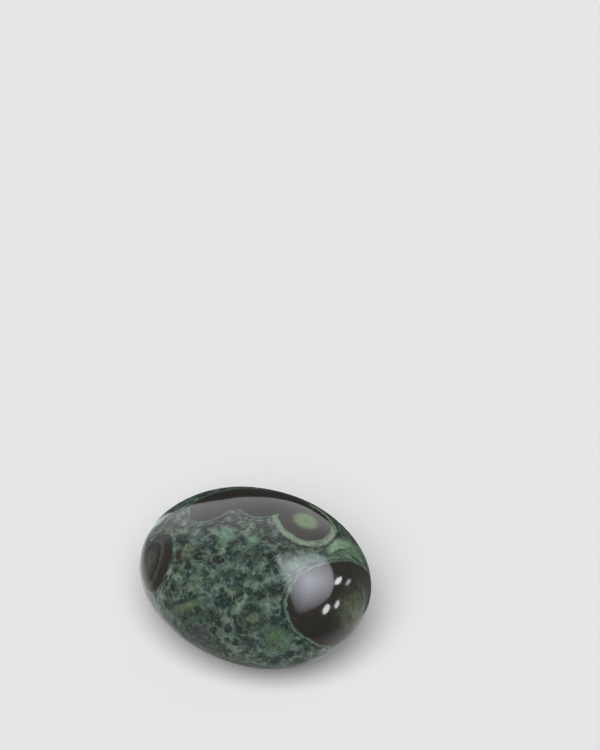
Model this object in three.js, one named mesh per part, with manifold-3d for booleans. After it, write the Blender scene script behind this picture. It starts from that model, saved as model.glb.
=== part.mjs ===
// A tumbled and polished pebble of kambaba jasper, lying on the small flat spot that it rests on.
// Millimetres, +Z up. +X runs along the stone's length, +Y along its width.
// The origin is in the plane of the resting flat, under the middle of the stone.
import * as THREE from "three";
import { mergeVertices } from "three/addons/utils/BufferGeometryUtils.js";
import Module from "manifold-3d";

// Half sizes of the egg that the stone was tumbled from. Wear takes the finished stone inside it.
const HALF_LENGTH = 27.2;
const HALF_WIDTH = 22;
const HALF_HEIGHT = 16.8;

// How much the resting flat takes off the underside.
const FLAT_DEPTH = 0.4;

// The broad worn faces that make the pebble less regular than an egg. Each one looks along an azimuth,
// counted from +X towards +Y, and an elevation. It lies depth inside the egg at its middle, and has
// faded to about a third of that at spread degrees from there.
const WORN_FACES = [
  { name: "left end", azimuth: -155, elevation: 5, depth: 1.2, spread: 28 },
  { name: "left shoulder", azimuth: 180, elevation: 30, depth: 1.7, spread: 32 },
  { name: "back of the top", azimuth: 135, elevation: 55, depth: 0.7, spread: 32 },
  { name: "top", azimuth: -10, elevation: 80, depth: 0.5, spread: 35 },
  { name: "back", azimuth: 95, elevation: 5, depth: 0.7, spread: 32 },
  { name: "back right", azimuth: 50, elevation: 0, depth: 0.6, spread: 30 },
  { name: "right underside", azimuth: 10, elevation: -25, depth: 1.8, spread: 32 },
  { name: "front foot", azimuth: -55, elevation: -55, depth: 0.9, spread: 32 },
  { name: "front left underside", azimuth: -110, elevation: -40, depth: 1.9, spread: 32 },
  { name: "left underside", azimuth: -135, elevation: -20, depth: 0.6, spread: 28 },
  { name: "back underside", azimuth: 110, elevation: -50, depth: 0.9, spread: 32 },
  { name: "underside", azimuth: 0, elevation: -90, depth: 0.5, spread: 40 },
];

// How finely the surface is divided: 20 * (DETAIL + 1)^2 triangles before the flat is cut.
const DETAIL = 17;

const POLISHED_GREEN = 0x3b4a42;
const POLISH_ROUGHNESS = 0.12;

const { Manifold, Mesh } = await loadManifold();

async function loadManifold() {
  const wasm = await Module();
  wasm.setup();
  return wasm;
}

// Unit vector that an azimuth and an elevation in degrees point along.
function direction({ azimuth, elevation }) {
  const turn = THREE.MathUtils.degToRad(azimuth);
  const rise = THREE.MathUtils.degToRad(elevation);
  return new THREE.Vector3(
    Math.cos(rise) * Math.cos(turn),
    Math.cos(rise) * Math.sin(turn),
    Math.sin(rise),
  );
}

// How far the egg's surface lies from its middle along a unit vector.
function eggRadius(unit) {
  return 1 / Math.hypot(unit.x / HALF_LENGTH, unit.y / HALF_WIDTH, unit.z / HALF_HEIGHT);
}

// How much one worn face takes off the egg along a unit vector.
function wear(face, unit) {
  const away = 1 - unit.dot(direction(face));
  const width = 1 - Math.cos(THREE.MathUtils.degToRad(face.spread));
  return face.depth * Math.exp(-away / width);
}

// The pebble's whole rounded surface, about its own middle.
function pebbleGeometry() {
  const ball = new THREE.IcosahedronGeometry(1, DETAIL);
  ball.deleteAttribute("normal");
  ball.deleteAttribute("uv");
  const surface = mergeVertices(ball, 1e-5);
  const places = surface.getAttribute("position");
  const point = new THREE.Vector3();
  for (let i = 0; i < places.count; i++) {
    point.fromBufferAttribute(places, i).normalize();
    const worn = WORN_FACES.reduce((sum, face) => sum + wear(face, point), 0);
    point.multiplyScalar(eggRadius(point) - worn);
    places.setXYZ(i, point.x, point.y, point.z);
  }
  return surface;
}

// A closed geometry, with only positions left in it, as a solid that can be cut.
function toSolid(geometry) {
  const bare = geometry.clone();
  bare.deleteAttribute("normal");
  bare.deleteAttribute("uv");
  const merged = mergeVertices(bare);
  return new Manifold(
    new Mesh({
      numProp: 3,
      vertProperties: new Float32Array(merged.getAttribute("position").array),
      triVerts: new Uint32Array(merged.index.array),
    }),
  );
}

function toGeometry(solid) {
  const { vertProperties, triVerts } = solid.getMesh();
  const geometry = new THREE.BufferGeometry();
  geometry.setAttribute("position", new THREE.BufferAttribute(vertProperties, 3));
  geometry.setIndex(new THREE.BufferAttribute(triVerts, 1));
  geometry.computeVertexNormals();
  return geometry;
}

// The pebble with its resting flat cut, moved so that the flat lies at Z = 0 under the stone's middle.
function stoneGeometry() {
  const pebble = pebbleGeometry();
  pebble.computeBoundingBox();
  const flatHeight = pebble.boundingBox.min.z + FLAT_DEPTH;
  const side = 4 * HALF_LENGTH;
  const below = new THREE.BoxGeometry(side, side, side).translate(0, 0, flatHeight - side / 2);
  const stone = toGeometry(toSolid(pebble).subtract(toSolid(below)));
  stone.computeBoundingBox();
  const middle = stone.boundingBox.getCenter(new THREE.Vector3());
  return stone.translate(-middle.x, -middle.y, -flatHeight);
}

const stone = new THREE.Mesh(
  stoneGeometry(),
  new THREE.MeshStandardMaterial({
    color: POLISHED_GREEN,
    roughness: POLISH_ROUGHNESS,
    metalness: 0,
  }),
);
stone.name = "stone";

const pebble = new THREE.Group();
pebble.add(stone);

export default pebble;
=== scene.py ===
# The looks of a tumbled and polished pebble of kambaba jasper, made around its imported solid.
# Metres, in the solid's frame: +X along the stone, +Y along its width, +Z up, and the floor at Z = 0.
# The pattern is worked out in millimetres, as a solid texture that the stone's surface cuts through.
import math

import bmesh
import bpy
import numpy as np
from mathutils import Matrix, Vector, noise
from mathutils.bvhtree import BVHTree


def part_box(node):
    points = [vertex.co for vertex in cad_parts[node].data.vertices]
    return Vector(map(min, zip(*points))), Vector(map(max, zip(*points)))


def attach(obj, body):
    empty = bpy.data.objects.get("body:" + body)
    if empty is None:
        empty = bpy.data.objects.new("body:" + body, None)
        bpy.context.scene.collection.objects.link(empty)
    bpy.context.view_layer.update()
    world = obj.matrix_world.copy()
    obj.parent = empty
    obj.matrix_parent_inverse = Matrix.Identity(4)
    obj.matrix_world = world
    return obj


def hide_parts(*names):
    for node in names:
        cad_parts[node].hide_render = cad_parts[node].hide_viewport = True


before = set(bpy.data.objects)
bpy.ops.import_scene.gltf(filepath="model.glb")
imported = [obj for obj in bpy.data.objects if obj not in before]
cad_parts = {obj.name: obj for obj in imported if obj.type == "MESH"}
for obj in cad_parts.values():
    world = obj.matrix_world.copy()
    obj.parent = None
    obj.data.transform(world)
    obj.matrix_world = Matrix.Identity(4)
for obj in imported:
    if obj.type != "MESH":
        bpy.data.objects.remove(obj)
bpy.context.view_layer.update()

MM = 0.001

# A length in metres that is as good as none, to divide by safely.
TINY = 1e-7

# The egg that the stone was tumbled from, in millimetres, and what the resting flat takes off it.
HALF_SIZES = np.array([27.2, 22.0, 16.8])
FLAT_DEPTH = 0.4

# The broad worn faces: azimuth, elevation, depth in millimetres at the middle, and spread in degrees.
WORN_FACES = {
    "left end": (-155, 5, 1.2, 28),
    "left shoulder": (180, 30, 1.7, 32),
    "back of the top": (135, 55, 0.7, 32),
    "top": (-10, 80, 0.5, 35),
    "back": (95, 5, 0.7, 32),
    "back right": (50, 0, 0.6, 30),
    "right underside": (10, -25, 1.8, 32),
    "front foot": (-55, -55, 0.9, 32),
    "front left underside": (-110, -40, 1.9, 32),
    "left underside": (-135, -20, 0.6, 28),
    "back underside": (110, -50, 0.9, 32),
    "underside": (0, -90, 0.5, 40),
}

# What tumbling leaves uneven between the worn faces: size and height of the waves in millimetres.
WAVE_SIZE = 7.0
WAVE_HEIGHT = 0.03

# Each edge of an icosahedron is cut this many times, which gives 20 * (CUTS + 1)^2 triangles.
CUTS = 95

# The picture's frame, and the camera as the photograph has it: its lens and sensor in millimetres,
# its azimuth about the stone and its elevation in degrees, how far off it stands in metres, and the
# pixel where it sees the middle of the egg.
PICTURE_WIDTH = 600
PICTURE_HEIGHT = 750
LENS = 75.0
SENSOR = 30.0
PIXELS_PER_UNIT = PICTURE_HEIGHT * LENS / SENSOR
VIEW_AZIMUTH = 30.0
VIEW_ELEVATION = 42.0
VIEW_DISTANCE = 0.401
STONE_PIXEL = (252.6, 575.6)

# Dark orbs that the photograph shows: pixel of the middle, radii across, up and into the stone in
# millimetres, turn about the surface's normal in degrees, and width of the pale rim in millimetres.
SEEN_ORBS = {
    "right lobe": ((348, 604), (14.0, 8.9, 11.5), 0, 0.5),
    "eyed orb": ((306, 519), (5.7, 6.7, 6.0), 0, 1.3),
    "middle of the band": ((262, 503), (5.2, 5.4, 5.0), 0, 0.5),
    "left of the band": ((210, 508), (4.8, 5.2, 5.0), 0, 0.3),
    "behind the band": ((250, 497), (14.5, 5.6, 5.0), 0, 0.5),
    "left lens": ((153.5, 560.5), (5.8, 6.6, 5.0), 0, 0.12),
}

# Dark orbs on the sides that the photograph hides: azimuth and elevation, then as above.
HIDDEN_ORBS = {
    "back": ((103, -4), (8.2, 7.0, 8.0), 15, 0.9),
    "back left": ((150, -14), (4.2, 5.0, 4.0), -20, 0.6),
    "right end": ((35, -24), (5.4, 4.6, 5.0), 30, 0.7),
    "underside": ((-40, -72), (7.0, 6.0, 5.0), 40, 0.8),
    "left foot": ((-165, -42), (5.0, 4.0, 4.0), 0, 0.6),
    "back foot": ((62, -48), (4.0, 4.6, 4.0), 0, 0.5),
}

# Rings about a middle: how far out, where 1 is the edge, and the colour there with its opacity.
RINGS_END = 1.6
RINGS = {
    "pale eye": [
        (0.00, (0.070, 0.125, 0.050, 1.0)),
        (0.10, (0.075, 0.130, 0.055, 1.0)),
        (0.17, (0.115, 0.172, 0.086, 1.0)),
        (0.62, (0.112, 0.165, 0.086, 1.0)),
        (0.82, (0.075, 0.110, 0.056, 1.0)),
        (1.00, (0.034, 0.042, 0.024, 0.7)),
        (1.30, (0.020, 0.022, 0.014, 0.0)),
    ],
    "lobe eye": [
        (0.00, (0.092, 0.116, 0.082, 1.0)),
        (0.30, (0.082, 0.106, 0.068, 1.0)),
        (0.46, (0.054, 0.066, 0.040, 0.9)),
        (0.60, (0.070, 0.084, 0.050, 0.9)),
        (0.80, (0.056, 0.066, 0.038, 0.8)),
        (1.00, (0.032, 0.037, 0.022, 0.6)),
        (1.40, (0.016, 0.016, 0.011, 0.0)),
    ],
    "grey eye": [
        (0.00, (0.060, 0.062, 0.050, 1.0)),
        (0.45, (0.044, 0.046, 0.036, 1.0)),
        (0.80, (0.010, 0.011, 0.009, 1.0)),
        (0.91, (0.012, 0.013, 0.011, 1.0)),
        (0.96, (0.085, 0.095, 0.082, 0.7)),
        (1.02, (0.030, 0.034, 0.028, 0.4)),
        (1.08, (0.090, 0.100, 0.085, 0.5)),
        (1.14, (0.012, 0.013, 0.011, 0.0)),
    ],
    "pale rim": [
        (0.94, (0.060, 0.085, 0.062, 0.0)),
        (1.00, (0.085, 0.120, 0.086, 0.9)),
        (1.10, (0.135, 0.200, 0.128, 1.0)),
        (1.20, (0.140, 0.212, 0.132, 1.0)),
        (1.27, (0.050, 0.080, 0.052, 0.0)),
    ],
    "weak orb": [
        (0.00, (0.040, 0.037, 0.041, 0.85)),
        (0.60, (0.032, 0.032, 0.034, 0.80)),
        (0.74, (0.050, 0.075, 0.054, 0.6)),
        (0.95, (0.064, 0.096, 0.066, 0.7)),
        (1.06, (0.010, 0.016, 0.012, 0.6)),
        (1.16, (0.010, 0.016, 0.012, 0.0)),
    ],
    "small orb": [
        (0.00, (0.080, 0.120, 0.060, 0.8)),
        (0.25, (0.070, 0.105, 0.055, 0.7)),
        (0.42, (0.014, 0.022, 0.016, 0.8)),
        (0.78, (0.016, 0.026, 0.020, 0.6)),
        (0.92, (0.070, 0.105, 0.072, 0.7)),
        (1.10, (0.060, 0.090, 0.060, 0.0)),
    ],
    "green eye": [
        (0.00, (0.066, 0.078, 0.038, 1.0)),
        (0.35, (0.056, 0.090, 0.044, 1.0)),
        (0.60, (0.056, 0.104, 0.060, 1.0)),
        (0.90, (0.056, 0.100, 0.064, 0.8)),
        (1.30, (0.040, 0.080, 0.050, 0.0)),
    ],
    "green disc": [
        (0.00, (0.100, 0.150, 0.100, 0.8)),
        (0.70, (0.080, 0.130, 0.088, 0.8)),
        (1.10, (0.060, 0.100, 0.070, 0.0)),
    ],
    "dark cell": [
        (0.00, (0.012, 0.012, 0.013, 1.0)),
        (0.60, (0.011, 0.013, 0.012, 0.9)),
        (0.82, (0.080, 0.110, 0.085, 0.7)),
        (1.15, (0.060, 0.090, 0.070, 0.0)),
    ],
    "rusty cell": [
        (0.00, (0.030, 0.014, 0.010, 1.0)),
        (0.60, (0.016, 0.011, 0.009, 1.0)),
        (0.85, (0.060, 0.075, 0.050, 0.7)),
        (1.15, (0.050, 0.080, 0.055, 0.0)),
    ],
    "pale patch": [
        (0.00, (0.125, 0.230, 0.160, 0.90)),
        (0.55, (0.115, 0.200, 0.140, 0.80)),
        (1.20, (0.080, 0.140, 0.100, 0.0)),
    ],
    "pale lens": [
        (0.00, (0.190, 0.280, 0.180, 1.0)),
        (0.70, (0.150, 0.235, 0.145, 1.0)),
        (1.00, (0.090, 0.150, 0.090, 0.7)),
        (1.25, (0.060, 0.100, 0.060, 0.0)),
    ],
    "green streak": [
        (0.00, (0.074, 0.106, 0.062, 0.95)),
        (0.55, (0.064, 0.094, 0.058, 0.85)),
        (1.20, (0.040, 0.070, 0.050, 0.0)),
    ],
    "pale band": [
        (0.00, (0.105, 0.160, 0.120, 0.9)),
        (0.60, (0.095, 0.145, 0.108, 0.8)),
        (1.20, (0.070, 0.110, 0.080, 0.0)),
    ],
    "bright streak": [
        (0.00, (0.115, 0.190, 0.112, 1.0)),
        (0.70, (0.095, 0.162, 0.094, 0.9)),
        (1.25, (0.050, 0.090, 0.055, 0.0)),
    ],
    "dark streak": [
        (0.00, (0.008, 0.013, 0.010, 0.9)),
        (0.60, (0.009, 0.015, 0.012, 0.8)),
        (1.20, (0.012, 0.022, 0.016, 0.0)),
    ],
    "dark patch": [
        (0.00, (0.013, 0.022, 0.017, 0.70)),
        (0.60, (0.015, 0.026, 0.020, 0.55)),
        (1.30, (0.020, 0.034, 0.026, 0.0)),
    ],
    "white fleck": [
        (0.00, (0.300, 0.330, 0.300, 0.9)),
        (0.60, (0.200, 0.240, 0.200, 0.8)),
        (1.10, (0.100, 0.140, 0.110, 0.0)),
    ],
}

# Streaks that the photograph shows: kind of rings, pixels of both ends, half the width and how deep.
SEEN_STREAKS = [
    ("green streak", (166, 615), (206, 596), 1.2, 3.0),
    ("green streak", (170, 623), (168, 609), 0.9, 3.0),
    ("dark streak", (163, 609), (205, 592), 0.6, 3.0),
    ("dark streak", (282, 541), (326, 546), 0.55, 3.0),
    ("bright streak", (336, 541), (368, 572), 2.0, 4.0),
    ("bright streak", (347, 538), (366, 567), 1.7, 4.0),
    ("pale lens", (329, 550), (352, 541), 1.4, 3.0),
    ("pale band", (320, 557), (352, 561), 0.9, 2.0),
    ("dark streak", (331, 553), (348, 549), 0.35, 3.0),
    ("dark streak", (345, 549), (366, 567), 0.40, 3.0),
    ("pale band", (281, 572), (305, 558), 1.3, 2.0),
    ("pale band", (297, 561), (324, 556), 1.2, 2.0),
]

# Marks that the photograph shows: kind of rings, pixel, radii across, up and into the stone, and turn.
SEEN_MARKS = [
    ("dark patch", (246, 556), (3.2, 2.0, 2.0), 0),
    ("dark patch", (224, 574), (1.8, 1.4, 1.6), 0),
    ("dark patch", (207, 612), (2.2, 1.4, 1.6), 10),
    ("dark patch", (186, 617), (3.4, 1.7, 1.8), 20),
    ("dark patch", (249, 641), (2.2, 1.8, 1.6), 0),
    ("dark patch", (290, 633), (2.2, 1.0, 1.4), -35),
    ("dark patch", (272, 590), (1.4, 2.4, 1.6), 0),
    ("weak orb", (199, 637), (4.2, 5.2, 3.5), 0),
    ("small orb", (253, 618), (3.4, 3.4, 3.0), 0),
    ("green eye", (276, 642), (2.9, 3.2, 2.4), 0),
    ("dark cell", (228, 628), (1.5, 1.7, 1.5), 0),
    ("dark cell", (214, 631), (1.4, 1.5, 1.4), 0),
    ("rusty cell", (179, 555), (1.2, 2.1, 1.5), 0),
    ("dark cell", (199, 556), (2.1, 1.3, 1.5), 10),
    ("dark cell", (218, 560), (1.9, 1.3, 1.5), -30),
    ("green disc", (197, 579), (1.9, 2.0, 1.6), 0),
    ("pale patch", (226, 534), (2.6, 2.2, 2.0), -20),
    ("pale patch", (253, 540), (1.5, 1.5, 1.5), 0),
    ("white fleck", (349, 555), (0.8, 0.6, 0.5), -20),
]

# Marks inside the dark orbs and on their rims, in the same terms.
SEEN_RIMS = [("pale rim", (306.5, 519), (5.7, 6.7, 6.0), 0)]
SEEN_EYES = [
    ("pale eye", (306, 520.5), (3.0, 3.0, 2.6), 0),
    ("grey eye", (149, 562), (4.6, 5.0, 4.0), 0),
    ("lobe eye", (355, 611), (5.2, 4.8, 4.4), 25),
]

# Marks on the hidden sides: kind of rings, azimuth and elevation, radii and turn.
HIDDEN_MARKS = [
    ("weak orb", (75, 12), (5.0, 4.4, 4.0), 0),
    ("green eye", (128, 14), (2.2, 2.0, 2.0), 0),
    ("dark cell", (122, -32), (1.7, 1.2, 1.5), 20),
    ("green streak", (-80, -20), (5.0, 1.3, 3.0), -15),
    ("dark streak", (-82, -16), (4.6, 0.6, 3.0), -15),
]
HIDDEN_EYES = [
    ("pale eye", (105, -3), (2.8, 2.4, 2.6), 10),
    ("grey eye", (151, -13), (2.2, 2.6, 2.2), 0),
    ("lobe eye", (-42, -70), (3.4, 3.0, 3.0), 0),
]

# Where an orb's inside fades into its rim, in millimetres outside its edge, and in widths of its rim
# where the rim fades out, how much noise moves that, and where the thin dark line around it comes
# and goes.
ORB_EDGE = (0.12, -0.16)
RIM_EDGE = (1.20, 0.95)
RIM_UNEVEN = 1.8
LINE_COMES = (1.05, 1.20)
LINE_GOES = (1.75, 1.45)

# The colours of an orb's inside, of the thin line around it and of its rim where deep and pale.
BLACK = (0.0115, 0.0112, 0.0095, 1)
BROWN = (0.024, 0.015, 0.010, 1)
DARK_LINE = (0.010, 0.017, 0.013, 1)
DEEP_RIM = (0.038, 0.062, 0.044, 1)
PALE_RIM = (0.088, 0.130, 0.090, 1)

# The matrix between the orbs, from its darkest to its palest.
MATRIX_COLOURS = [
    (0.26, (0.007, 0.016, 0.012)),
    (0.35, (0.015, 0.028, 0.021)),
    (0.42, (0.029, 0.047, 0.036)),
    (0.50, (0.045, 0.071, 0.054)),
    (0.58, (0.071, 0.106, 0.080)),
    (0.66, (0.094, 0.143, 0.108)),
    (0.76, (0.132, 0.192, 0.148)),
]

# The matrix's patches: how strongly they differ, and the level that they differ about.
PATCH_CONTRAST = 0.54
PATCH_LEVEL = 0.350

# How many cells with pale walls the matrix has in a millimetre. Then its bands along the orbs: how far
# from an orb they start and where they are strongest, in millimetres, their strength, and how much
# faster they change away from the orb than along it.
CELLS_PER_MM = 0.62
BANDS_START = 3.0
BANDS_FULL = 0.8
BANDS_STRENGTH = 0.9
BANDS_PACE = 6.0

# How strongly fine flecks show in the matrix.
FLECKS = 0.05

# Slow drifts of the matrix's tint, by noise, and the warmer tint of its rusty places.
MATRIX_TINTS = [
    (0.34, (0.92, 0.96, 1.08)),
    (0.47, (1.01, 0.98, 1.05)),
    (0.56, (1.04, 0.98, 0.99)),
    (0.68, (1.10, 1.01, 0.82)),
]
RUST_TINT = (1.5, 0.85, 0.95, 1)

# The polish: its least and greatest roughness, its relief in millimetres, and its index of refraction.
ROUGHNESS = (0.06, 0.11)
RELIEF = 0.003
POLISH_IOR = 1.6


def direction(azimuth, elevation):
    """The unit vector that an azimuth, from +X towards +Y, and an elevation in degrees point along."""
    turn, rise = math.radians(azimuth), math.radians(elevation)
    return Vector((math.cos(rise) * math.cos(turn), math.cos(rise) * math.sin(turn), math.sin(rise)))


def pebble_points(units):
    """The places on the worn egg, in millimetres about its own middle, that unit vectors point to."""
    radius = 1 / np.linalg.norm(units / HALF_SIZES, axis=1)
    for azimuth, elevation, depth, spread in WORN_FACES.values():
        away = 1 - units @ np.array(direction(azimuth, elevation))
        radius -= depth * np.exp(-away / (1 - math.cos(math.radians(spread))))
    return units * radius[:, None]


def make_pebble():
    """The smooth stone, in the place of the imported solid, and the middle of its egg."""
    ball = bmesh.new()
    bmesh.ops.create_icosphere(ball, subdivisions=1, radius=1)
    bmesh.ops.subdivide_edges(ball, edges=ball.edges[:], cuts=CUTS, use_grid_fill=True)
    mesh = bpy.data.meshes.new("pebble")
    ball.to_mesh(mesh)
    ball.free()
    units = np.zeros(len(mesh.vertices) * 3)
    mesh.vertices.foreach_get("co", units)
    units = units.reshape(-1, 3)
    units /= np.linalg.norm(units, axis=1)[:, None]
    points = pebble_points(units)
    flat = points[:, 2].min() + FLAT_DEPTH
    middle = (points.min(axis=0) + points.max(axis=0)) / 2
    waves = np.array([noise.noise(Vector(point) / WAVE_SIZE) for point in points])
    points += units * (waves * WAVE_HEIGHT)[:, None]
    points[:, 2] = np.maximum(points[:, 2], flat)
    low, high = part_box("stone")
    place = (low + high) / 2 / MM
    move = np.array([place.x - middle[0], place.y - middle[1], low.z / MM - flat])
    mesh.vertices.foreach_set("co", ((points + move) * MM).ravel())
    mesh.polygons.foreach_set("use_smooth", np.ones(len(mesh.polygons), dtype=bool))
    mesh.update()
    pebble = bpy.data.objects.new("pebble", mesh)
    bpy.context.scene.collection.objects.link(pebble)
    return pebble, Vector(move) * MM


def make_camera(target):
    """A level camera that sees target at its pixel of the picture, from the photograph's angle."""
    across = (STONE_PIXEL[0] - PICTURE_WIDTH / 2) / PIXELS_PER_UNIT
    up = (PICTURE_HEIGHT / 2 - STONE_PIXEL[1]) / PIXELS_PER_UNIT
    length = math.sqrt(1 + across**2 + up**2)
    sine = math.sin(math.radians(VIEW_ELEVATION)) * length / math.hypot(1, up)
    pitch = math.asin(sine) + math.atan(up)
    level = math.cos(pitch) + up * math.sin(pitch)
    yaw = math.radians(-VIEW_AZIMUTH) - math.atan2(across, level)
    rotation = Matrix.Rotation(-yaw, 3, "Z") @ Matrix.Rotation(math.pi / 2 - pitch, 3, "X")
    ray = rotation @ Vector((across, up, -1)).normalized()
    data = bpy.data.cameras.new("camera")
    data.lens = LENS
    data.sensor_width = SENSOR
    camera = bpy.data.objects.new("camera", data)
    camera.matrix_world = Matrix.Translation(target - VIEW_DISTANCE * ray) @ rotation.to_4x4()
    bpy.context.scene.collection.objects.link(camera)
    bpy.context.scene.camera = camera
    return camera


class Surface:
    """Finds places on the stone, from pixels of the picture or from directions about its middle."""

    def __init__(self, pebble, middle, camera):
        self.corners = [(vertex.co.copy(), vertex.normal.copy()) for vertex in pebble.data.vertices]
        self.faces = [tuple(face.vertices) for face in pebble.data.polygons]
        self.tree = BVHTree.FromPolygons([place for place, normal in self.corners], self.faces)
        self.middle = middle
        self.eye = camera.matrix_world.translation
        self.rotation = camera.matrix_world.to_3x3()

    def smooth_normal(self, place, face):
        """The normal at a place, from those at the corners of its face, the nearest counting most."""
        total = Vector()
        for index in self.faces[face]:
            corner, normal = self.corners[index]
            total += normal / ((corner - place).length + TINY)
        return total.normalized()

    def at_pixel(self, pixel):
        """Where the picture shows the stone at a pixel: place, normal, and direction of the ray."""
        across = (pixel[0] - PICTURE_WIDTH / 2) / PIXELS_PER_UNIT
        up = (PICTURE_HEIGHT / 2 - pixel[1]) / PIXELS_PER_UNIT
        ray = (self.rotation @ Vector((across, up, -1))).normalized()
        place, normal, face, distance = self.tree.ray_cast(self.eye, ray)
        return place, self.smooth_normal(place, face), ray

    def at_direction(self, azimuth, elevation):
        """Where a line from the stone's middle leaves it: place and normal."""
        place, normal, face, distance = self.tree.ray_cast(self.middle, direction(azimuth, elevation))
        return place, self.smooth_normal(place, face)


def round_at(place, normal, right, radii, turn):
    """A round thing in the rock, whose own X runs towards right and whose Z is the normal."""
    across = (right - right.dot(normal) * normal).normalized()
    axes = Matrix((across, normal.cross(across), normal)).transposed()
    axes = axes @ Matrix.Rotation(math.radians(turn), 3, "Z")
    return {"middle": place / MM, "turn": axes.to_euler(), "radii": radii}


def seen_round(surface, pixel, radii, turn):
    """A round thing in the rock, about the place at a pixel."""
    place, normal, ray = surface.at_pixel(pixel)
    return round_at(place, normal, surface.rotation.col[0], radii, turn)


def seen_streak(surface, first, last, width, depth):
    """A long thing in the rock between the places at two pixels."""
    start, end = surface.at_pixel(first)[0], surface.at_pixel(last)[0]
    place, normal, ray = surface.at_pixel(((first[0] + last[0]) / 2, (first[1] + last[1]) / 2))
    return round_at(place, normal, end - start, ((end - start).length / MM / 2, width, depth), 0)


def hidden_round(surface, angles, radii, turn):
    """A round thing in the rock, about the place at an azimuth and an elevation."""
    place, normal = surface.at_direction(*angles)
    return round_at(place, normal, direction(angles[0] + 90, 0), radii, turn)


class Graph:
    """Adds nodes to one tree. Inputs are numbers, colours, vectors or the sockets that feed them."""

    def __init__(self, tree):
        self.tree = tree

    def node(self, kind, inputs, **settings):
        node = self.tree.nodes.new("ShaderNode" + kind)
        for name, value in settings.items():
            setattr(node, name, value)
        for name, value in dict(inputs).items():
            if isinstance(value, bpy.types.NodeSocket):
                self.tree.links.new(value, node.inputs[name])
            else:
                node.inputs[name].default_value = value
        return node

    def math(self, operation, *values):
        return self.node("Math", enumerate(values), operation=operation).outputs[0]

    def vector(self, operation, *values):
        return self.node("VectorMath", enumerate(values), operation=operation).outputs[0]

    def scale(self, vector, amount):
        return self.node("VectorMath", {0: vector, "Scale": amount}, operation="SCALE").outputs[0]

    def dot(self, first, second):
        return self.node("VectorMath", {0: first, 1: second}, operation="DOT_PRODUCT").outputs["Value"]

    def length(self, value):
        return self.node("VectorMath", {0: value}, operation="LENGTH").outputs["Value"]

    def step(self, value, low, high, first=0.0, last=1.0):
        """Goes smoothly from first to last as value goes from low to high."""
        inputs = {"Value": value, "From Min": low, "From Max": high, "To Min": first, "To Max": last}
        return self.node("MapRange", inputs, interpolation_type="SMOOTHSTEP").outputs[0]

    def blend(self, amount, first, second, how="MIX"):
        """The colour first, which turns to second as amount goes from 0 to 1."""
        inputs = {0: amount, 6: first, 7: second}
        return self.node("Mix", inputs, data_type="RGBA", blend_type=how).outputs[2]

    def ramp(self, value, stops):
        """Colour and opacity by value: stops are pairs of a value from 0 to 1 and a colour."""
        node = self.node("ValToRGB", {0: value})
        elements = node.color_ramp.elements
        elements.remove(elements[1])
        for number, (position, colour) in enumerate(stops):
            element = elements.new(position) if number else elements[0]
            element.position = position
            element.color = colour if len(colour) == 4 else (*colour, 1)
        return node.outputs["Color"], node.outputs["Alpha"]

    def noise(self, place, size, seed, detail=2.0, roughness=0.5):
        """Noise about 0.5, whose features are about size millimetres across. It has a colour too."""
        shifted = self.vector("MULTIPLY_ADD", place, (1 / size,) * 3, (seed, -seed, 2.0 * seed))
        inputs = {"Vector": shifted, "Scale": 1.0, "Detail": detail, "Roughness": roughness}
        return self.node("TexNoise", inputs)

    def wobble(self, place, size, seed, reach, detail=2.0):
        """place, moved about by noise by up to roughly reach millimetres."""
        shift = self.noise(place, size, seed, detail).outputs["Color"]
        centred = self.vector("SUBTRACT", shift, (0.5, 0.5, 0.5))
        return self.vector("MULTIPLY_ADD", centred, (2 * reach,) * 3, place)

    def threads(self, place, size, seed, width, height, detail=1.0):
        """Thin wandering lines, where noise crosses its middle value: height on them, 0 between."""
        level = self.noise(place, size, seed, detail).outputs[0]
        away = self.math("ABSOLUTE", self.math("SUBTRACT", level, 0.5))
        return self.step(away, 0.0, width, height, 0.0)

    def reach(self, place, thing):
        """How far out in a round thing a place lies: 0 at its middle, 1 on its surface."""
        inputs = {
            "Vector": place,
            "Location": thing["middle"],
            "Rotation": thing["turn"],
            "Scale": thing["radii"],
        }
        return self.length(self.node("Mapping", inputs, vector_type="TEXTURE").outputs[0])

    def rings(self, colour, place, thing, kind, strength):
        """colour, with rings of a kind laid over it about a round thing, where strength is not 0."""
        reach = self.math("MULTIPLY", self.reach(place, thing), 1 / RINGS_END)
        stops = [(out / RINGS_END, tone) for out, tone in RINGS[kind]]
        over, opacity = self.ramp(reach, stops)
        return self.blend(self.math("MULTIPLY", opacity, strength), colour, over)

    def least(self, values):
        """The smallest of several values."""
        smallest = values[0]
        for value in values[1:]:
            smallest = self.math("MINIMUM", smallest, value)
        return smallest


def orb_distances(graph, surface, outline):
    """The distance outside the nearest dark orb, in millimetres and in widths of its rim."""
    orbs = []
    for pixel, radii, turn, rim in SEEN_ORBS.values():
        orbs.append((seen_round(surface, pixel, radii, turn), rim))
    for angles, radii, turn, rim in HIDDEN_ORBS.values():
        orbs.append((hidden_round(surface, angles, radii, turn), rim))
    distances, rims = [], []
    for orb, rim in orbs:
        mean = (orb["radii"][0] + orb["radii"][1]) / 2
        distance = graph.math("MULTIPLY_ADD", graph.reach(outline, orb), mean, -mean)
        distances.append(distance)
        rims.append(graph.math("DIVIDE", distance, rim))
    return graph.least(distances), graph.least(rims)


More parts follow.
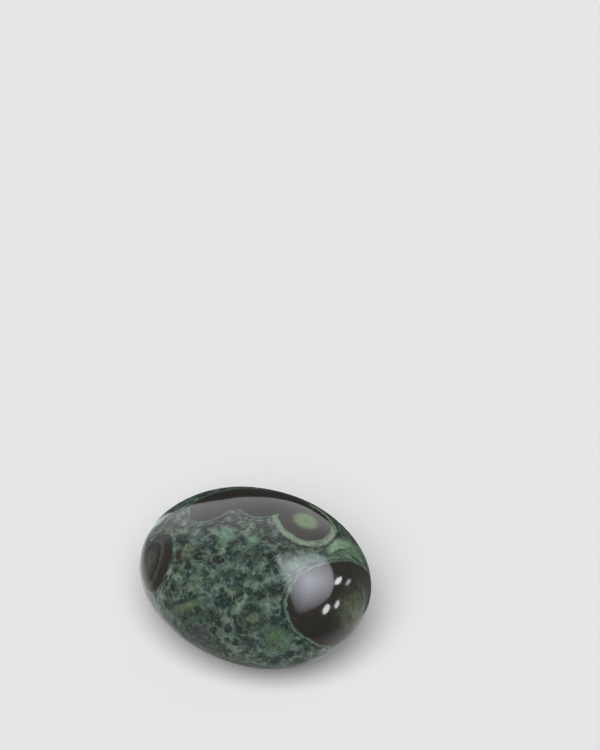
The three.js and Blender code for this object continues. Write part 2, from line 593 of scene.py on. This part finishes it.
def matrix_colour(graph, place, outside):
    """The mottled rock between the orbs: patches, pale threads, fine flecks and bands along the orbs."""
    crumbled = graph.wobble(place, 1.5, 11, 0.75, 2)
    patches = graph.noise(crumbled, 2.1, 21, 3, 0.5).outputs[0]
    uneven = graph.math("SUBTRACT", patches, 0.5)
    value = graph.math("MULTIPLY_ADD", uneven, PATCH_CONTRAST, PATCH_LEVEL)
    value = graph.math("ADD", value, graph.step(patches, 0.40, 0.60, 0.0, 0.12))
    inputs = {"Vector": crumbled, "Scale": CELLS_PER_MM}
    cells = graph.node("TexVoronoi", inputs, feature="DISTANCE_TO_EDGE")
    width = graph.step(graph.noise(place, 2.2, 25, 2).outputs[0], 0.35, 0.65, 0.04, 0.34)
    walls = {0: cells.outputs["Distance"], 1: 0.0, 2: width, 3: 0.14, 4: -0.03}
    value = graph.math("ADD", value, graph.node("MapRange", walls).outputs[0])
    value = graph.math("ADD", value, graph.threads(crumbled, 2.2, 27, 0.075, 0.08))
    flecks = graph.noise(place, 0.5, 31, 3, 0.6).outputs[0]
    value = graph.math("MULTIPLY_ADD", graph.math("SUBTRACT", flecks, 0.5), FLECKS, value)
    along = graph.node("CombineXYZ", {0: graph.math("MULTIPLY", outside, BANDS_PACE)}).outputs[0]
    bands = graph.noise(graph.vector("ADD", along, place), 3.5, 37, 1).outputs[0]
    near = graph.step(outside, BANDS_START, BANDS_FULL, 0, BANDS_STRENGTH)
    value = graph.math("ADD", value, graph.math("MULTIPLY", graph.math("SUBTRACT", bands, 0.5), near))
    colour, opacity = graph.ramp(value, MATRIX_COLOURS)
    hue = graph.noise(place, 3.2, 41, 3, 0.6).outputs[0]
    tint, opacity = graph.ramp(hue, MATRIX_TINTS)
    colour = graph.blend(1.0, colour, tint, "MULTIPLY")
    rust = graph.noise(place, 1.7, 43, 3, 0.6).outputs[0]
    return graph.blend(graph.step(rust, 0.62, 0.70, 0.0, 0.6), colour, RUST_TINT, "MULTIPLY")


def rock_colour(graph, surface, place):
    """The whole pattern: the matrix, its marks and streaks, and the dark orbs with rims and eyes."""
    outline = graph.wobble(graph.wobble(place, 6, 3, 0.7), 1.2, 7, 0.34, 3)
    ragged = graph.wobble(place, 1.6, 9, 0.8, 4)
    outside, rim = orb_distances(graph, surface, outline)
    colour = matrix_colour(graph, place, outside)

    # Small marks in the matrix, ragged and broken.
    patchy = graph.step(graph.noise(place, 0.9, 55, 3, 0.6).outputs[0], 0.36, 0.56, 0.25, 1.0)
    for kind, pixel, radii, turn in SEEN_MARKS:
        colour = graph.rings(colour, ragged, seen_round(surface, pixel, radii, turn), kind, patchy)
    for kind, angles, radii, turn in HIDDEN_MARKS:
        colour = graph.rings(colour, ragged, hidden_round(surface, angles, radii, turn), kind, patchy)

    # Streaks, of which two kinds are as ragged as the marks.
    for kind, first, last, width, depth in SEEN_STREAKS:
        streak = seen_streak(surface, first, last, width, depth)
        edges = ragged if kind in ("bright streak", "pale band") else outline
        colour = graph.rings(colour, edges, streak, kind, graph.step(patchy, 0.25, 1.0, 0.6, 1.0))

    # A thin dark line, then the green rim, then the black inside of each orb.
    broken = graph.noise(place, 1.4, 51, 2).outputs[0]
    line = graph.math("MULTIPLY", graph.step(rim, *LINE_COMES), graph.step(rim, *LINE_GOES))
    line = graph.math("MULTIPLY", line, graph.step(broken, 0.40, 0.55, 0.25, 0.85))
    colour = graph.blend(line, colour, DARK_LINE)
    paler = graph.step(graph.noise(place, 2.0, 53, 4, 0.65).outputs[0], 0.35, 0.65)
    green = graph.blend(paler, DEEP_RIM, PALE_RIM)
    uneven = graph.math("MULTIPLY_ADD", graph.math("SUBTRACT", broken, 0.5), RIM_UNEVEN, rim)
    colour = graph.blend(graph.step(uneven, *RIM_EDGE), colour, green)
    mottle = graph.noise(place, 1.8, 57, 5, 0.7).outputs[0]
    black = graph.blend(graph.step(mottle, 0.48, 0.68), BLACK, BROWN)
    frayed = graph.wobble(outline, 0.9, 13, 0.35, 3)
    faded = graph.step(broken, 0.36, 0.52, 0.45, 1.0)
    for kind, pixel, radii, turn in SEEN_RIMS:
        colour = graph.rings(colour, frayed, seen_round(surface, pixel, radii, turn), kind, faded)
    speckle = graph.step(graph.noise(place, 0.8, 59, 2, 0.5).outputs[0], 0.32, 0.68, 0.84, 1.13)
    colour = graph.scale(colour, speckle)
    colour = graph.blend(graph.step(outside, *ORB_EDGE), colour, black)

    # The eyes inside the orbs, each kind with its own kind of edge and strength.
    cloudy = graph.step(mottle, 0.36, 0.56, 0.35, 1.0)
    eyes = [(kind, seen_round(surface, pixel, radii, turn)) for kind, pixel, radii, turn in SEEN_EYES]
    for kind, angles, radii, turn in HIDDEN_EYES:
        eyes.append((kind, hidden_round(surface, angles, radii, turn)))
    soft = graph.wobble(place, 1.1, 67, 0.22)
    layers = {"lobe eye": (ragged, cloudy), "grey eye": (frayed, faded), "pale eye": (soft, 1.0)}
    for kind, eye in eyes:
        edges, strength = layers[kind]
        colour = graph.rings(colour, edges, eye, kind, strength)
    return colour


def make_jasper(surface):
    """The polished rock. Its pattern is in millimetres, as a solid that the surface cuts through."""
    material = bpy.data.materials.new("jasper")
    material.use_nodes = True
    shader = material.node_tree.nodes["Principled BSDF"]
    graph = Graph(material.node_tree)
    metres = graph.node("TexCoord", {}).outputs["Object"]
    place = graph.vector("MULTIPLY", metres, (1 / MM,) * 3)
    colour = rock_colour(graph, surface, place)
    grain = graph.noise(place, 0.8, 61, 4, 0.6).outputs[0]
    gloss = graph.step(grain, 0.3, 0.7, *ROUGHNESS)
    bump = graph.node("Bump", {"Height": grain, "Strength": 1.0, "Distance": RELIEF * MM})
    relief = bump.outputs[0]
    links = material.node_tree.links
    links.new(colour, shader.inputs["Base Color"])
    links.new(gloss, shader.inputs["Roughness"])
    links.new(relief, shader.inputs["Normal"])
    shader.inputs["IOR"].default_value = POLISH_IOR
    return material


def stage_mesh(name, points, faces, material):
    """A mesh that belongs to the stage around the stone, not to the stone."""
    mesh = bpy.data.meshes.new(name)
    mesh.from_pydata(points, [], faces)
    mesh.materials.append(material)
    stage = bpy.data.objects.new(name, mesh)
    bpy.context.scene.collection.objects.link(stage)
    return stage


# The floor: half its side in metres and how pale it is. Mirrors see it as paler near the stone than
# from FLOOR_FAR metres on, and to the front they see only the front share of its paleness, which is
# painted shade on the floor as the polish mirrors it.
FLOOR_HALF = 4.0
FLOOR_ALBEDO = 0.8
FAR_ALBEDO = 0.2
FRONT_SHADE_SHARE = 0.35
FLOOR_NEAR = 0.034
FLOOR_FAR = 0.075

# The bright back wall that mirrors see: its azimuth, and the cosines of the angles from there at
# which it starts and at which it is at its full brightness. Then the floor in front, where mirrors
# see the painted shade darkest, alike.
BACK_AZIMUTH = 115
BACK_START = 0.58
BACK_FULL = 0.98
FRONT_AZIMUTH = -78
FRONT_START = 0.35
FRONT_FULL = 0.75


def make_floor():
    """A plain pale sheet, which the stone's polish sees as the photograph's surroundings."""
    material = bpy.data.materials.new("floor")
    material.use_nodes = True
    shader = material.node_tree.nodes["Principled BSDF"]
    graph = Graph(material.node_tree)
    place = graph.node("TexCoord", {}).outputs["Object"]
    side = graph.vector("NORMALIZE", place)
    back = graph.step(graph.dot(side, direction(BACK_AZIMUTH, 0)), BACK_START, BACK_FULL)
    # Painted shade: to the front, mirrors see the floor darker.
    toward = graph.dot(side, direction(FRONT_AZIMUTH, 0))
    front = graph.step(toward, FRONT_START, FRONT_FULL, 1.0, FRONT_SHADE_SHARE)
    far = graph.math("SUBTRACT", graph.step(graph.length(place), FLOOR_NEAR, FLOOR_FAR), back)
    near = graph.math("MULTIPLY", front, FLOOR_ALBEDO)
    mirrored = graph.blend(far, near, (FAR_ALBEDO,) * 3 + (1,))
    glossy = graph.node("LightPath", {}).outputs["Is Glossy Ray"]
    albedo = graph.blend(glossy, (FLOOR_ALBEDO,) * 3 + (1,), mirrored)
    material.node_tree.links.new(albedo, shader.inputs["Base Color"])
    shader.inputs["Roughness"].default_value = 1.0
    shader.inputs["Specular IOR Level"].default_value = 0.0
    half = FLOOR_HALF
    corners = [(-half, -half, 0), (half, -half, 0), (half, half, 0), (-half, half, 0)]
    stage_mesh("floor", corners, [(0, 1, 2, 3)], material)


# The window that the polish mirrors: the middle of its glow and then its corners, as pixels of the
# picture with their share of the brightness, how far off it stands, and its brightness.
WINDOW = [
    ((309, 580), 1.70),
    ((275.5, 558), 0.42), ((277, 555), 0.36), ((283, 553), 0.32), ((292, 552.2), 0.28),
    ((301, 552), 0.26), ((310, 552.5), 0.32), ((318, 554), 0.40), ((325, 558), 0.50), ((329.5, 564), 0.60),
    ((332.5, 571), 0.72), ((334, 579), 0.78), ((333.5, 587), 0.70), ((331, 594), 0.54), ((326.5, 600), 0.40),
    ((320, 605), 0.32), ((312, 609), 0.26), ((304, 612.5), 0.16), ((299, 615), 0.08), ((296, 611), 0.14),
    ((293, 604), 0.30), ((289.5, 594), 0.44), ((285.5, 583), 0.52), ((281, 570), 0.48), ((277, 562), 0.44),
]
WINDOW_DISTANCE = 0.9
WINDOW_COLOUR = (4.2, 4.3, 4.8)

# The small lamps, nearer than the window, each drawn with LAMP_CORNERS corners: pixel of the middle,
# half the size in pixels along and across, slant in degrees and radiance.
LAMP_DISTANCE = 0.9 * WINDOW_DISTANCE
LAMP_CORNERS = 12
LAMPS = [
    ((338.3, 580.8), (5.0, 2.4), 50, 12.0),
    ((348.2, 582.3), (3.6, 1.8), 55, 5.0),
    ((326.2, 609.3), (5.6, 2.6), 60, 11.0),
    ((337.0, 604.4), (4.4, 2.0), 65, 9.0),
]

# The low dark card behind the stone is a painted reflection: a glowing sheet that only mirrors see,
# which darkens the polish along the top of the stone. The pixels where the polish mirrors its top
# edge, with the level of brightness there and below, at the floor. Its ends are as bright as what
# stands beyond them. The card stands close to the stone, at a distance in metres.
CARD = [
    ((160, 524), 20.0, 15.0), ((167, 516.5), 20.0, 15.0), ((170.5, 513.5), 12.0, 10.0),
    ((173, 512), 1.0, 1.0),
    ((189, 506), 1.0, 1.0), ((206, 502.5), 1.0, 1.0), ((223, 500), 1.0, 1.0), ((240, 497.5), 1.0, 1.0),
    ((258, 497), 1.0, 1.0), ((275, 498.5), 1.0, 1.0), ((292, 502), 1.0, 1.0), ((309, 508.5), 1.0, 1.0),
    ((320, 515.5), 1.0, 1.0), ((329, 522), 1.0, 1.0), ((333, 529), 1.3, 1.0), ((335, 538), 2.0, 1.0),
    ((337, 548), 2.8, 1.2), ((341, 560), 3.3, 1.8), ((348, 570), 3.5, 5.0), ((352, 580), 3.6, 12.0),
]
CARD_DISTANCE = 0.018
CARD_REFLECTION_COLOUR = (0.060, 0.068, 0.066)


def make_glow(name, colour):
    """A glowing material, whose strength is the level at each point of the mesh."""
    material = bpy.data.materials.new(name)
    material.use_nodes = True
    tree = material.node_tree
    tree.nodes.clear()
    emission = tree.nodes.new("ShaderNodeEmission")
    emission.inputs["Color"].default_value = (*colour, 1)
    level = tree.nodes.new("ShaderNodeAttribute")
    level.attribute_name = "level"
    tree.links.new(level.outputs["Fac"], emission.inputs["Strength"])
    output = tree.nodes.new("ShaderNodeOutputMaterial")
    tree.links.new(emission.outputs[0], output.inputs["Surface"])
    return material


def mirror_points(surface, pixels, distance):
    """Where the stone, looked at through these pixels, mirrors things at a distance."""
    points = []
    for pixel in pixels:
        place, normal, ray = surface.at_pixel(pixel)
        points.append(place + ray.reflect(normal) * distance)
    return points


def make_mirrored(name, points, faces, colour, levels):
    """A glowing sheet that only mirrors see, with a level of brightness at each point."""
    sheet = stage_mesh(name, points, faces, make_glow(name, colour))
    sheet.data.attributes.new("level", "FLOAT", "POINT").data.foreach_set("value", levels)
    sheet.visible_camera = False
    sheet.visible_diffuse = False
    sheet.visible_shadow = False


# The broad soft light beside the camera: where it stands, how wide it is, in degrees, and its strength.
KEY_AZIMUTH = -68.0
KEY_ELEVATION = 53.0
KEY_WIDTH = 50.0
KEY_STRENGTH = 3.5

# The soft lights that fill in the sides and the back of the stone alone: azimuths, and the rest alike.
FILL_AZIMUTHS = (55.0, 170.0)
FILL_ELEVATION = 15.0
FILL_WIDTH = 90.0
FILL_STRENGTH = 1.3


def make_soft_light(name, azimuth, elevation, width, strength):
    """A broad light that shades the rock. Mirrors see the glowing sheets in its place."""
    data = bpy.data.lights.new(name, "SUN")
    data.energy = strength
    data.angle = math.radians(width)
    light = bpy.data.objects.new(name, data)
    light.rotation_euler = direction(azimuth, elevation).to_track_quat("Z", "Y").to_euler()
    light.visible_glossy = False
    bpy.context.scene.collection.objects.link(light)
    return light


def make_soft_lights(pebble):
    """The key light, and fill lights that reach only the stone, so that the floor keeps one shadow."""
    make_soft_light("key", KEY_AZIMUTH, KEY_ELEVATION, KEY_WIDTH, KEY_STRENGTH)
    lit = bpy.data.collections.new("lit by the fill lights")
    lit.objects.link(pebble)
    for number, azimuth in enumerate(FILL_AZIMUTHS):
        fill = make_soft_light(f"fill_{number}", azimuth, FILL_ELEVATION, FILL_WIDTH, FILL_STRENGTH)
        fill.light_linking.receiver_collection = lit


def make_window(surface):
    """The window, as a fan of faces about its bright middle."""
    window = mirror_points(surface, [pixel for pixel, level in WINDOW], WINDOW_DISTANCE)
    faces = [(0, i, i + 1) for i in range(1, len(window) - 1)] + [(0, len(window) - 1, 1)]
    make_mirrored("window", window, faces, WINDOW_COLOUR, [level for pixel, level in WINDOW])


def lamp_pixels(middle, size, slant):
    """The corners of a lamp's slanted oval, as pixels of the picture."""
    lean = math.radians(slant)
    pixels = []
    for corner in range(LAMP_CORNERS):
        turn = corner * math.tau / LAMP_CORNERS
        along, across = size[0] * math.cos(turn), size[1] * math.sin(turn)
        x = middle[0] + along * math.cos(lean) - across * math.sin(lean)
        y = middle[1] - along * math.sin(lean) - across * math.cos(lean)
        pixels.append((x, y))
    return pixels


def make_lamps(surface):
    """The lamps, each a sheet of one even brightness."""
    face = tuple(range(LAMP_CORNERS))
    for number, (middle, size, slant, radiance) in enumerate(LAMPS):
        lamp = mirror_points(surface, lamp_pixels(middle, size, slant), LAMP_DISTANCE)
        make_mirrored(f"lamp_{number}", lamp, [face], (radiance,) * 3, [1.0] * LAMP_CORNERS)


def make_card_reflection(surface):
    """The low card, a painted reflection that only mirrors see, from its top edge straight down to the
    floor.
    """
    top = mirror_points(surface, [pixel for pixel, level, below in CARD], CARD_DISTANCE)
    points = top + [Vector((point.x, point.y, 0)) for point in top]
    levels = [level for pixel, level, below in CARD] + [below for pixel, level, below in CARD]
    count = len(top)
    faces = [(i, i + 1, count + i + 1, count + i) for i in range(count - 1)]
    make_mirrored("card", points, faces, CARD_REFLECTION_COLOUR, levels)


# The room: even light on the rock and the floor, the backdrop, and what mirrors see. The heights are
# the sines of the elevations between which the back wall fades out upwards.
EVEN_LIGHT = (0.10, 0.10, 0.10, 1)
BACKDROP = (0.8, 0.8, 0.8, 1)
DARK_ROOM = (0.22, 0.22, 0.22, 1)
BACK_WALL = (1.10, 1.08, 1.12, 1)
WALL_FADES = 0.7
WALL_ENDS = 0.95


def make_world():
    """Plain even light, with a dark room and a bright back wall for mirrors alone."""
    world = bpy.data.worlds.new("room")
    bpy.context.scene.world = world
    world.use_nodes = True
    graph = Graph(world.node_tree)
    rays = graph.node("LightPath", {}).outputs
    toward = graph.node("TexCoord", {}).outputs["Generated"]
    height = graph.node("SeparateXYZ", {0: toward}).outputs["Z"]
    level = graph.vector("NORMALIZE", graph.vector("MULTIPLY", toward, (1, 1, 0)))
    back = graph.dot(level, direction(BACK_AZIMUTH, 0))
    sideways = graph.step(back, BACK_START, BACK_FULL)
    wall = graph.math("MULTIPLY", sideways, graph.step(height, WALL_ENDS, WALL_FADES))
    mirrored = graph.blend(wall, DARK_ROOM, BACK_WALL)
    colour = graph.blend(rays["Is Glossy Ray"], EVEN_LIGHT, mirrored)
    colour = graph.blend(rays["Is Camera Ray"], colour, BACKDROP)
    world.node_tree.links.new(colour, world.node_tree.nodes["Background"].inputs["Color"])
    bpy.context.scene.view_settings.view_transform = "Standard"


pebble, stone_middle = make_pebble()
camera = make_camera(stone_middle)
surface = Surface(pebble, stone_middle, camera)
pebble.data.materials.append(make_jasper(surface))
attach(pebble, "root")
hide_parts("stone")
make_floor()
make_soft_lights(pebble)
make_window(surface)
make_lamps(surface)
make_card_reflection(surface)
make_world()
